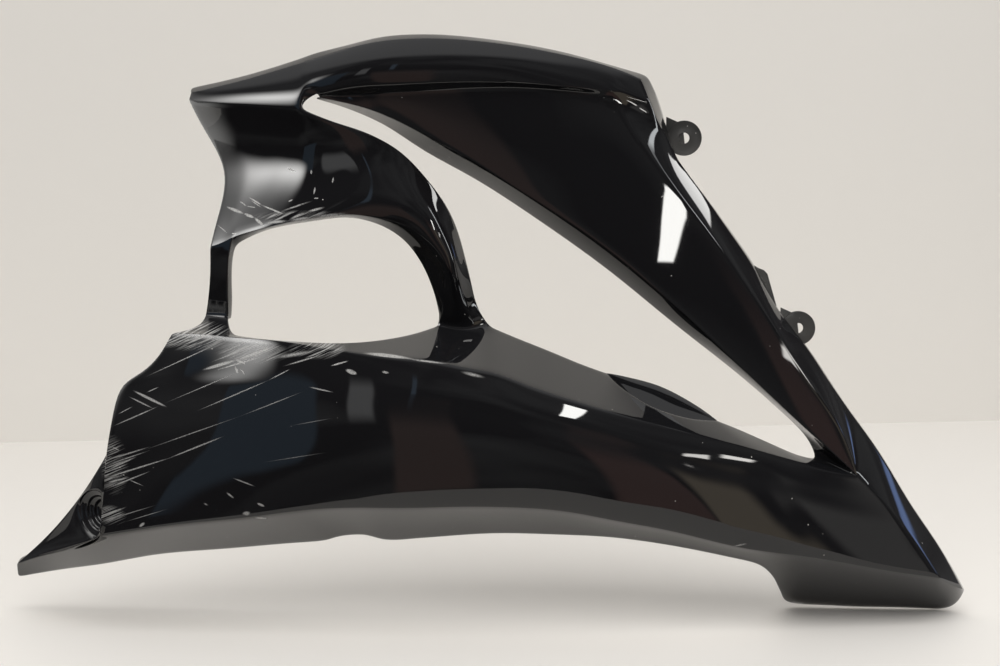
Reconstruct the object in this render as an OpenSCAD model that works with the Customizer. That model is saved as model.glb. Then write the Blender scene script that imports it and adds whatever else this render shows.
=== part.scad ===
/* [Overall size] */
// Length of the panel from the tail tip to the front toe
panel_length = 842; // [800:1:880]
// Depth from the flank's top crease to the inboard edge of the belly lip's flap
panel_depth = 132; // [124:1:142]
// Height from the lowest edge of the lip to the top rim
panel_height = 504; // [480:1:530]
// Thickness of the moulded wall
wall = 3; // [2.4:0.1:3.6]

/* [Fixing ears] */
// Outer diameter of both ears on the front edge
ear_d = 29; // [26:1:32]
// Thickness of an ear
ear_t = 4; // [3:0.5:5]
// Diameter of the hole in an ear
ear_hole_d = 9; // [7:0.5:11]

/* [Tail fixing] */
// Outer diameter of the stepped recess in the tail
recess_d = 42; // [38:1:46]
// Depth of the whole recess
recess_depth = 12; // [10:1:14]
// Diameter of the hole at the bottom of the recess
tail_hole_d = 8.5; // [6:0.5:10]
// Angle that the tail face turns inboard
tail_turn = 37; // [30:1:44]

/* [Scoop] */
// Depth of the bowl behind the scoop's front rim
scoop_depth = 24; // [16:1:30]

/* [Hidden] */

// Size that the curves below are drawn at
drawn = [842, 132, 504];
to_size = [panel_length / drawn.x, panel_depth / drawn.y, panel_height / drawn.z];
function sized(p) = [p.x * to_size.x, p.y * to_size.y, p.z * to_size.z];

// Centres of the fixings on the drawn panel
upper_ear = [581, 70, 421];
lower_ear = [681, 80, 261];
tail_fixing = [86, 54, 106];
tab_root = [651, 72, 298];
// Pointed ends, and how the wall's thickness grows with the distance from them
pointed_ends = [[179, 37, 455], [4, 102, 49], [286, 9, 456]];
tip_wall = 0.9;
taper_length = 16;

// Curves of the panel: x runs to the front, y inboard and z up, in millimetres
// Top rim: the fold and the free edge of its small flange
rim_fold = [[180, 37, 458], [221, 26, 467], [271, 16, 481], [285, 13, 485], [307, 10, 492],
    [335, 7, 498], [366, 6, 500], [429, 7, 496], [476, 13, 488], [517, 20, 478], [541, 28, 469]];
rim_edge = [[177, 48, 462], [220, 37, 471], [269, 27, 485], [284, 24, 490], [306, 21, 495],
    [334, 19, 502], [366, 17, 504], [429, 19, 499], [476, 24, 491], [518, 31, 480], [548, 46, 472]];

// Lower side of the top blade, from the left tip past the slot to the front
blade_low = [[178, 37, 452], [201, 28, 450], [230, 19, 448], [272, 8, 444]];
slot_nose = [[272, 8, 444], [273, 9, 449], [279, 9, 454], [285, 8, 457]];
blade_step = [[285, 8, 457], [311, 3, 463], [351, 1, 465], [390, 1, 467], [429, 3, 467],
    [468, 7, 464], [500, 12, 461], [522, 16, 459]];
blade_foot = [[522, 16, 459], [548, 25, 451]];
blade_front = [[541, 28, 469], [544, 27, 462], [548, 25, 451]];

// Recessed diagonal panel: top side, side along the slot, front crease
recess_top = [[286, 10, 455], [310, 12, 455], [336, 10, 457], [366, 9, 459], [413, 9, 461],
    [468, 12, 460], [500, 17, 457], [521, 20, 451]];
panel_low = [[287, 11, 454], [302, 12, 451], [326, 14, 445], [349, 16, 435], [373, 18, 423],
    [445, 25, 380], [516, 32, 332], [562, 36, 294], [627, 43, 234], [679, 48, 185], [730, 54, 139]];
front_crease = [[521, 20, 451], [526, 21, 442], [565, 27, 388], [610, 33, 331], [651, 39, 272],
    [686, 45, 220], [713, 49, 182], [730, 54, 139]];
flank_front = [[730, 54, 139], [750, 58, 120], [778, 63, 85], [806, 69, 46]];

// Slot: edge of the upper return band, then the shelf's back edge with the scoop in it
slot_up = [[283, 13, 453], [304, 33, 446], [334, 38, 433], [364, 41, 413], [412, 46, 386],
    [462, 51, 353], [511, 56, 318], [579, 61, 263], [631, 65, 222], [674, 69, 184], [690, 71, 168],
    [698, 71, 150]];
slot_low = [[420, 78, 263], [446, 78, 252], [471, 78, 242], [497, 78, 231], [519, 78, 223]];
scoop_rim = [[519, 78, 223], [533, 48, 213], [553, 37, 202], [580, 41, 192], [612, 61, 185]];
scoop_back = [[519, 78, 223], [540, 84, 218], [565, 84, 211], [591, 80, 198], [612, 61, 185]];
slot_tail = [[612, 61, 185], [632, 67, 176], [657, 65, 165], [683, 65, 154], [698, 71, 150]];

// Flank: top crease, left edge, bottom crease
flank_top = [[161, 28, 264], [185, 23, 264], [212, 19, 262], [251, 11, 260], [292, 6, 254],
    [333, 2, 249], [378, 0, 245], [401, 0, 240], [422, 1, 236], [453, 4, 224], [493, 9, 210],
    [543, 17, 194], [593, 25, 179], [644, 35, 164], [681, 44, 152], [705, 49, 144], [730, 54, 139]];
flank_left = [[161, 28, 264], [155, 28, 252], [145, 29, 238], [131, 31, 228], [118, 33, 223],
    [114, 33, 217], [110, 33, 198], [102, 35, 160], [99, 37, 131], [93, 41, 90]];
left_return = [[160, 39, 261], [154, 40, 249], [144, 42, 235], [129, 45, 224], [116, 46, 218],
    [112, 48, 213], [107, 50, 194], [98, 52, 157], [95, 53, 127], [93, 41, 90]];
flank_bottom = [[93, 41, 90], [159, 30, 103], [214, 24, 110], [281, 20, 119], [359, 19, 120],
    [408, 19, 121], [483, 23, 116], [525, 27, 107], [567, 32, 98], [630, 39, 81], [699, 48, 69],
    [770, 61, 53], [806, 69, 46]];

// Tail triangle and the free edge of the belly lip with its notch and its front flap
tail_low = [[4, 102, 49], [30, 84, 61], [58, 65, 72], [93, 41, 90]];
tail_out = [[4, 102, 49], [36, 86, 78], [72, 67, 119], [98, 52, 157]];
lip_edge = [[0, 119, 32], [38, 117, 39], [75, 113, 45], [129, 107, 56], [192, 100, 63],
    [254, 94, 70], [277, 92, 72], [287, 87, 77], [299, 86, 79], [314, 86, 79], [321, 88, 76],
    [328, 91, 73], [355, 89, 75], [429, 84, 81], [472, 80, 81], [528, 73, 80], [571, 69, 75],
    [630, 69, 63], [650, 74, 57], [664, 89, 44], [678, 115, 19], [687, 132, 4], [717, 131, 2],
    [752, 129, 1], [788, 127, 1], [821, 126, 0]];

// Front strip: outer fold, its inboard return, the side wall at its head and the toe
strip_out = [[548, 25, 451], [558, 37, 431], [567, 43, 417], [573, 45, 405], [597, 49, 374],
    [618, 54, 345], [640, 59, 315], [659, 64, 281], [684, 69, 251], [719, 76, 200], [755, 84, 152],
    [784, 91, 106], [814, 99, 64], [837, 104, 25]];
strip_back = [[574, 58, 403], [599, 62, 373], [621, 67, 344], [643, 72, 314], [662, 77, 279],
    [687, 82, 249], [723, 89, 197], [759, 97, 149], [788, 104, 103], [818, 112, 61], [842, 117, 21]];
head_wall = [[548, 46, 472], [557, 56, 456], [564, 66, 438], [570, 72, 418]];
toe_edge = [[821, 126, 0], [830, 124, 1], [838, 121, 8], [842, 117, 21]];

// Arch: left free edge, edge along the slot, edge over the window and its return
arch_left = [[178, 37, 452], [182, 46, 439], [191, 58, 420], [199, 61, 405], [203, 60, 390],
    [201, 50, 371], [196, 39, 349], [193, 33, 334]];
arch_out = [[272, 8, 444], [294, 13, 435], [325, 20, 425], [348, 29, 412], [372, 40, 386],
    [385, 48, 367], [394, 56, 346], [400, 61, 323], [405, 67, 301], [410, 73, 279], [420, 78, 263]];
arch_in = [[193, 33, 334], [202, 32, 337], [212, 30, 342], [235, 25, 349], [276, 22, 358],
    [312, 23, 361], [336, 27, 356], [348, 30, 351], [364, 37, 336], [375, 45, 321], [381, 54, 301],
    [382, 63, 283], [376, 73, 264]];
window_up = [[213, 41, 335], [233, 38, 345], [274, 35, 354], [311, 36, 357], [335, 40, 349],
    [347, 43, 341], [363, 50, 320], [371, 58, 301], [376, 67, 282], [378, 74, 269]];
window_low = [[212, 29, 262], [233, 25, 260], [267, 20, 258], [299, 20, 257], [330, 37, 257],
    [358, 56, 260], [376, 73, 264]];
pillar_foot = [[376, 73, 264], [397, 74, 260], [420, 78, 263]];

// Strut behind the flank's left end
strut_left = [[193, 33, 334], [190, 45, 306], [187, 51, 288], [184, 56, 275]];
strut_right = [[212, 30, 342], [208, 34, 327], [205, 44, 306], [204, 49, 289], [203, 54, 273]];
strut_return = [[213, 41, 335], [210, 45, 326], [207, 54, 305], [206, 60, 287], [204, 65, 270]];
foot_back = [[184, 56, 275], [194, 55, 274], [203, 54, 273]];
foot_left = [[161, 28, 264], [174, 39, 266], [181, 46, 269], [184, 56, 275]];
foot_right = [[212, 29, 262], [206, 41, 265], [203, 54, 273]];

// Smooth line through points, measured along its chords
function last(p) = p[len(p) - 1];
function lengths(p, i = 0, sum = 0) =
    i >= len(p) - 1 ? [sum] : concat([sum], lengths(p, i + 1, sum + norm(p[i + 1] - p[i])));
function rise(p, c, i) = (p[i + 1] - p[i]) / (c[i + 1] - c[i]);
function inner_slope(p, c, i) =
    (rise(p, c, i) * (c[i] - c[i - 1]) + rise(p, c, i - 1) * (c[i + 1] - c[i])) / (c[i + 1] - c[i - 1]);
function slope(p, c, i) =
    len(p) < 3 ? rise(p, c, 0)
    : i == 0 ? 1.5 * rise(p, c, 0) - 0.5 * inner_slope(p, c, 1)
    : i == len(p) - 1 ? 1.5 * rise(p, c, i - 1) - 0.5 * inner_slope(p, c, i - 1)
    : inner_slope(p, c, i);
function span_of(c, t, i = 0) = i >= len(c) - 2 || t < c[i + 1] ? i : span_of(c, t, i + 1);
function on_curve(p, c, t) =
    let (i = span_of(c, t), h = c[i + 1] - c[i], u = (t - c[i]) / h)
    p[i] * (2 * u^3 - 3 * u^2 + 1) + slope(p, c, i) * h * (u^3 - 2 * u^2 + u)
    + p[i + 1] * (3 * u^2 - 2 * u^3) + slope(p, c, i + 1) * h * (u^3 - u^2);

// A row of points along a curve: stops are points of the curve, steps the spaces between them
function row(p, steps, stops = undef) =
    let (c = lengths(p), s = is_undef(stops) ? [0, len(p) - 1] : stops)
    [for (k = [0 : len(steps) - 1], j = [0 : steps[k] - (k == len(steps) - 1 ? 0 : 1)])
        on_curve(p, c, c[s[k]] + (c[s[k + 1]] - c[s[k]]) * j / steps[k])];
function straight(a, b, steps) = [for (j = [0 : steps]) a + (b - a) * j / steps];
function backward(p) = [for (i = [len(p) - 1 : -1 : 0]) p[i]];
// Rows joined end to end, without the doubled points
function joined(rows) =
    [for (k = [0 : len(rows) - 1], i = [(k == 0 ? 0 : 1) : len(rows[k]) - 1]) rows[k][i]];

// Grid between four edges: low and high run along it, left and right across it
function patch(low, high, left, right, swell = [0]) =
    let (n = len(low) - 1, m = len(left) - 1)
    [for (j = [0 : m]) [for (i = [0 : n])
        let (s = i / n, t = j / m)
        low[i] * (1 - t) + high[i] * t + left[j] * (1 - s) + right[j] * s
        - (low[0] * (1 - s) * (1 - t) + low[n] * s * (1 - t) + high[0] * (1 - s) * t + high[n] * s * t)
        + [0, lookup(s, bulge_table(swell)) * 4 * t * (1 - t), 0]]];
function bulge_table(swell) = let (n = len(swell) + 1)
    concat([[0, 0]], [for (k = [1 : n - 1]) [k / n, swell[k - 1]]], [[1, 0]]);

// Inboard direction at a point of a grid
function across(g, j, i) =
    let (m = len(g) - 1, n = len(g[0]) - 1,
        a = g[j][min(n, i + 1)] - g[j][max(0, i - 1)],
        b = g[min(m, j + 1)][i] - g[max(0, j - 1)][i])
    cross(a, b) / max(norm(cross(a, b)), 0.001);

// Spaces along the rows that neighbouring patches share
strut_steps = 4;
window_steps = 14;
pillar_steps = 5;
front_steps = [13, 8, 7];
slot_steps = [7, 12, 9];
rear_steps = [strut_steps, window_steps, pillar_steps];
side_steps = [4, 2];
tip_steps = 7;
nose_steps = 2;
blade_steps = 12;
end_steps = 2;
crease_steps = 13;
tail_steps = 6;
reveal_steps = 19;
flank_rows = 6;
shelf_rows = 3;
arch_rows = 5;
blade_rows = 3;
strip_rows = 2;
lip_rows = 2;
strut_rows = 6;
bowl_rows = 4;

// Shared rows: flank
crest = row(flank_top, concat(rear_steps, 28), [0, 2, 6, 8, 16]);
foot = row(flank_bottom, concat(rear_steps, front_steps), [0, 1, 4, 5, 9, 10, 12]);
side = row(flank_left, side_steps, [0, 7, 9]);
side_edge = row(left_return, side_steps, [0, 7, 9]);
nose = row(flank_front, [flank_rows]);
// Shared rows: shelf, slot and pillar
window_side = straight(flank_top[2], window_low[0], shelf_rows);
valley = straight(last(flank_top), last(slot_up), shelf_rows);
pillar = row(pillar_foot, [pillar_steps]);
scoop_front = row(scoop_rim, [slot_steps[1]]);
// Shared rows: strut and arch
strut_foot = row(foot_back, [strut_steps]);
strut_side = row(strut_right, [strut_rows]);
strut_edge = row(strut_return, [strut_rows]);
arch_low = row(arch_in, [strut_steps, reveal_steps], [0, 2, 12]);
// Shared rows: blade, recessed panel and strip
tip = row(blade_low, [tip_steps]);
rim_steps = [tip_steps, nose_steps, blade_steps, end_steps];
rim = row(rim_fold, rim_steps, [0, 2, 3, 9, 10]);
rim_flange = row(rim_edge, rim_steps, [0, 2, 3, 9, 10]);
step_top = row(blade_step, [blade_steps]);
step_low = row(recess_top, [blade_steps]);
step_end = straight(last(blade_step), front_crease[0], 1);
blade_end = row(blade_front, [blade_rows]);
crease = row(front_crease, [crease_steps]);
slot_fold = row(panel_low, [blade_steps, crease_steps], [0, 6, 10]);
strip_fold = row(strip_out, [4, 16], [0, 3, 13]);
toe_top = straight(last(flank_front), last(strip_out), strip_rows);
toe_left = straight(last(flank_front), last(lip_edge), lip_rows);
toe_right = straight(last(strip_out), last(strip_back), lip_rows);
// Shared rows: tail and lip
tail_fold = row(tail_low, [tail_steps]);
lip_steps = concat([tail_steps, strut_steps, 7, 5, 2, pillar_steps], front_steps);
lip_low = row(lip_edge, lip_steps, [0, 2, 3, 6, 11, 12, 13, 17, 21, 25]);

function part_of(r, from, to) = [for (i = [from : sign(to - from) : to]) r[i]];
function still(p, steps) = [for (j = [0 : steps]) p];
function between(a, b, rows) = patch(a, b, straight(a[0], b[0], rows), straight(last(a), last(b), rows));

flank_patch = patch(crest, foot, side, nose, [-8, -14, -14, -10, -4]);
shelf_back = joined([row(window_low, [window_steps]), pillar, row(slot_low, [slot_steps[0]]),
    scoop_front, row(slot_tail, [slot_steps[2]])]);
shelf_patch = patch(part_of(crest, strut_steps, len(crest) - 1), shelf_back, window_side, valley);
scoop_lip = row(scoop_back, [slot_steps[1]]);
scoop_patch = [for (j = [0 : bowl_rows]) [for (i = [0 : len(scoop_lip) - 1])
    let (t = j / bowl_rows, s = i / (len(scoop_lip) - 1),
        sink = sin(180 * min(1, t * 1.15)) * sin(180 * s))
    scoop_front[i] * (1 - t) + scoop_lip[i] * t - [0, 0, scoop_depth * sink]]];
foot_patch = patch(part_of(crest, 0, strut_steps), strut_foot, row(foot_left, [shelf_rows + 2]),
    joined([window_side, row(foot_right, [2])]));
strut_patch = patch(strut_foot, part_of(arch_low, 0, strut_steps),
    backward(row(strut_left, [strut_rows])), backward(strut_side));
arch_top = joined([tip, row(arch_out, [16])]);
arch_patch = patch(arch_top, arch_low, row(arch_left, [arch_rows]), backward(pillar),
    [0, 2, 2, -2, -8, -14, -16, -14, -6]);
arch_fold = part_of(arch_low, strut_steps, len(arch_low) - 1);
blade_base = joined([tip, row(slot_nose, [nose_steps]), step_top, row(blade_foot, [end_steps])]);
blade_patch = patch(rim, blade_base, straight(rim_fold[0], blade_low[0], blade_rows), blade_end,
    [-3, -6, -8, -6, -2]);
recess_patch = patch(joined([step_low, crease]), slot_fold, straight(step_low[0], slot_fold[0], blade_rows),
    still(last(crease), blade_rows), [-2]);
band_patch = patch(slot_fold, row(slot_up, [blade_steps + crease_steps]),
    straight(slot_fold[0], slot_up[0], shelf_rows), valley, [-1]);
strip_patch = patch(strip_fold, joined([step_end, crease, nose]), backward(row(blade_foot, [end_steps])),
    backward(toe_top), [-2]);
head_patch = between(joined([blade_end, part_of(strip_fold, 0, 4)]), row(head_wall, [7]), 1);
tail_patch = patch(tail_fold, row(tail_out, [tail_steps]), still(tail_low[0], side_steps[1]),
    part_of(side_edge, 6, 4));
lip_patch = patch(joined([tail_fold, foot]), lip_low, straight(tail_low[0], lip_edge[0], lip_rows),
    toe_left, [3]);
strip_side = patch(part_of(strip_fold, 4, 20), row(strip_back, [16]),
    straight(strip_fold[4], strip_back[0], lip_rows), toe_right);
toe_patch = patch(toe_top, row(toe_edge, [strip_rows]), toe_left, toe_right);

// Patches of the skin, each with the side of it that faces inboard and its pull on the wall's direction
skin_patches = [
    [flank_patch, 1], [[side, side_edge], 1], [shelf_patch, -1], [scoop_patch, -1],
    [foot_patch, -1], [strut_patch, -1], [[strut_side, strut_edge], -1],
    [arch_patch, 1], [[arch_fold, row(window_up, [reveal_steps])], 1],
    [blade_patch, 1], [[rim_flange, rim], 1],
    [[step_top, step_low], 1, 0], [recess_patch, 1], [band_patch, 1],
    [strip_patch, 1], [strip_side, -1], [head_patch, -1], [toe_patch, 1], [tail_patch, -1], [lip_patch, 1]
];

// The patches as one sheet: corners at the same place count as one
grids = [for (s = skin_patches) [for (line = s[0]) [for (p = line) sized(p)]]];
corners = [for (g = grids, line = g, p = line) p];
leans = [for (k = [0 : len(grids) - 1], j = [0 : len(grids[k]) - 1], i = [0 : len(grids[k][0]) - 1])
    is_undef(skin_patches[k][2]) ? across(grids[k], j, i) * skin_patches[k][1] : [0, 0, 0]];
marks = [for (p = corners) [str(round(p.x * 100), "/", round(p.y * 100), "/", round(p.z * 100))]];
first = search([for (m = marks) m[0]], marks);
twins = search(first, [for (f = first) [f]], 0);
function total(v, i = 0) = i == len(v) - 1 ? v[i] : v[i] + total(v, i + 1);
// The wall thins out towards the pointed ends
function thickness_at(p) = min([for (q = pointed_ends)
    lookup(norm(p - sized(q)), [[0, tip_wall], [taper_length, wall]])]);
// Way from a corner of the skin to the wall's inboard face
function depth_at(k) =
    let (n = [for (t = twins[k]) if (norm(leans[t]) > 0.5) leans[t]], d = total(n) / norm(total(n)))
    d * thickness_at(corners[k]) / max(0.6, min([for (a = n) a * d]));
starts = [for (k = 0, sum = 0; k < len(grids); sum = sum + len(grids[k]) * len(grids[k][0]), k = k + 1)
    sum];
// Three corners of the sheet, or nothing where two of them are one
function facet(a, b, c) = let (f = [first[a], first[b], first[c]])
    f[0] == f[1] || f[1] == f[2] || f[2] == f[0] ? [] : [f];
skin = [for (k = [0 : len(grids) - 1])
    let (g = grids[k], w = len(g[0]), up = skin_patches[k][1] > 0)
    for (j = [0 : len(g) - 2], i = [0 : w - 2])
        let (a = starts[k] + j * w + i, b = a + 1, c = a + w + 1, d = a + w)
        each up ? concat(facet(a, b, c), facet(a, c, d)) : concat(facet(c, b, a), facet(d, c, a))];
// Sides of every patch, as pairs of corners
borders = [for (k = [0 : len(grids) - 1])
    let (o = starts[k], m = len(grids[k]) - 1, n = len(grids[k][0]) - 1, w = n + 1,
        loop = concat([for (i = [0 : n]) i], [for (j = [1 : m]) j * w + n],
            [for (i = [n - 1 : -1 : 0]) m * w + i], [for (j = [m - 1 : -1 : 1]) j * w]))
    for (i = [0 : len(loop) - 1])
        let (a = first[o + loop[i]], b = first[o + loop[(i + 1) % len(loop)]])
        if (a != b) skin_patches[k][1] > 0 ? [a, b] : [b, a]];
facing = search([for (e = borders) str(e[1], "/", e[0])], [for (e = borders) [str(e[0], "/", e[1])]]);
free_edges = [for (i = [0 : len(borders) - 1]) if (!is_num(facing[i])) borders[i]];

// The wall between the skin and its inboard face
module shell() {
    count = len(corners);
    lining = [for (f = skin) [f[2] + count, f[1] + count, f[0] + count]];
    edges = [for (e = free_edges) each [[e[1], e[0], e[0] + count], [e[1], e[0] + count, e[1] + count]]];
    inboard = [for (k = [0 : count - 1]) first[k] == k ? corners[k] + depth_at(k) : corners[k]];
    polyhedron(points = concat(corners, inboard), faces = concat(skin, lining, edges), convexity = 10);
}

// Step from an ear's disc down to its tongue, and the tongue's outline
ear_step = 0.6;
ear_flat = 0.4 * ear_d;
tongue_reach = 15;
tongue_rise = 6;
// Disc of an ear with its hole, and the thinner tongue that carries it
module ear(centre) {
    translate(sized(centre) - [0, ear_t / 2, 0])
        rotate([-90, 0, 0])
            difference() {
                union() {
                    cylinder(d = ear_d, h = ear_t, $fn = 48);
                    translate([0, 0, ear_step])
                        linear_extrude(height = ear_t - 2 * ear_step)
                            polygon([[-tongue_reach, -ear_flat - tongue_rise], [ear_flat / 4, -ear_flat],
                                [-ear_flat / 4, ear_flat], [-tongue_reach, ear_flat]]);
                }
                translate([0, 0, -1])
                    cylinder(d = ear_hole_d, h = ear_t + 2, $fn = 48);
            }
}

notch_margin = 3;
notch_depth = 24;
// Notch in the strip's edge, which keeps it clear of the lower ear's hole
module ear_notch() {
    translate(sized(lower_ear) - [0, notch_depth, 0])
        rotate([-90, 0, 0])
            cylinder(d = ear_hole_d + notch_margin, h = notch_depth + ear_t, $fn = 48);
}

module at_tail_fixing() {
    translate(sized(tail_fixing))
        rotate([0, 0, -tail_turn])
            rotate([-90, 0, 0])
                children();
}

// Ledges of the recess, as parts of its diameter and depth
ledges = [[1, 0.3], [0.72, 0.65], [0.5, 1]];
// Cup with its ledges and a hole in its floor
module recess_cup() {
    difference() {
        cylinder(d = recess_d + 2 * wall, h = recess_depth + wall, $fn = 48);
        for (s = ledges)
            translate([0, 0, -1])
                cylinder(d = recess_d * s[0], h = recess_depth * s[1] + 1, $fn = 48);
        cylinder(d = tail_hole_d, h = recess_depth + 2 * wall, $fn = 48);
    }
}

// Small flat tab that stands on the strip's edge between the ears
module tab() {
    translate(sized(tab_root))
        rotate([-90, 0, 0])
            linear_extrude(height = wall)
                polygon([[-12, -19], [-6, -15], [-1, -13], [2, -10], [12, 23], [6, 18],
                    [-9, 4], [-13, -8]]);
}

module fairing_panel() {
    color([0.02, 0.02, 0.025])
        translate(-sized(upper_ear))
            union() {
                difference() {
                    shell();
                    at_tail_fixing()
                        cylinder(d = recess_d, h = 4 * recess_depth, center = true, $fn = 48);
                    ear_notch();
                }
                at_tail_fixing()
                    recess_cup();
                ear(upper_ear);
                ear(lower_ear);
                tab();
            }
}

fairing_panel();
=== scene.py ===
import math
import bpy
import numpy as np
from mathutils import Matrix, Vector
from mathutils.bvhtree import BVHTree


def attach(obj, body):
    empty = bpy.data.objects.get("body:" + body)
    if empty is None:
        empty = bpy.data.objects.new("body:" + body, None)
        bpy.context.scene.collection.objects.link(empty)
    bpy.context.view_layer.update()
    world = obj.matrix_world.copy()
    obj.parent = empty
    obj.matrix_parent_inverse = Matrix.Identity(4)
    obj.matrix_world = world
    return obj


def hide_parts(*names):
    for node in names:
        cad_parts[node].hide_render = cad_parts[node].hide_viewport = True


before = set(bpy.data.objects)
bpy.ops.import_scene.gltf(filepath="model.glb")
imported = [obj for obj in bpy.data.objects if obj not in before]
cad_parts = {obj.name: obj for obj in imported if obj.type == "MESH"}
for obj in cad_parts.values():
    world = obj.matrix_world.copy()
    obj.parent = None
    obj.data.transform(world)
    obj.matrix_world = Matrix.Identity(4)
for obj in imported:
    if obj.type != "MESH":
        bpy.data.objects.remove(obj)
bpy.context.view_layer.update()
print("frame loaded")

# The panel is drawn in millimetres from its tail tip and floor, then moved to the upper ear.
upperEar = (581, 70, 421)
lowerEar = (681, 80, 261)
tailFixing = (86, 54, 106)
tabRoot = (651, 72, 298)


def toFrame(point):
    return tuple((p - o) / 1000 for p, o in zip(point, upperEar))


camera = {
    "place": (428.7, -1302.0, 451.0),  # mm on the drawn panel
    "pitch": 8.0,  # degrees down
    "lens": 59.29,
    "sensor": 36.0,
    "photo": (1000, 666),  # pixels across and down
}


def makeCamera():
    data = bpy.data.cameras.new("camera")
    data.lens = camera["lens"]
    data.sensor_width = camera["sensor"]
    data.clip_start = 0.05
    data.clip_end = 50
    eye = bpy.data.objects.new("camera", data)
    eye.location = toFrame(camera["place"])
    eye.rotation_euler = (math.radians(90 - camera["pitch"]), 0, 0)
    bpy.context.scene.collection.objects.link(eye)
    bpy.context.scene.camera = eye


makeCamera()
print("camera placed")

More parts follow.
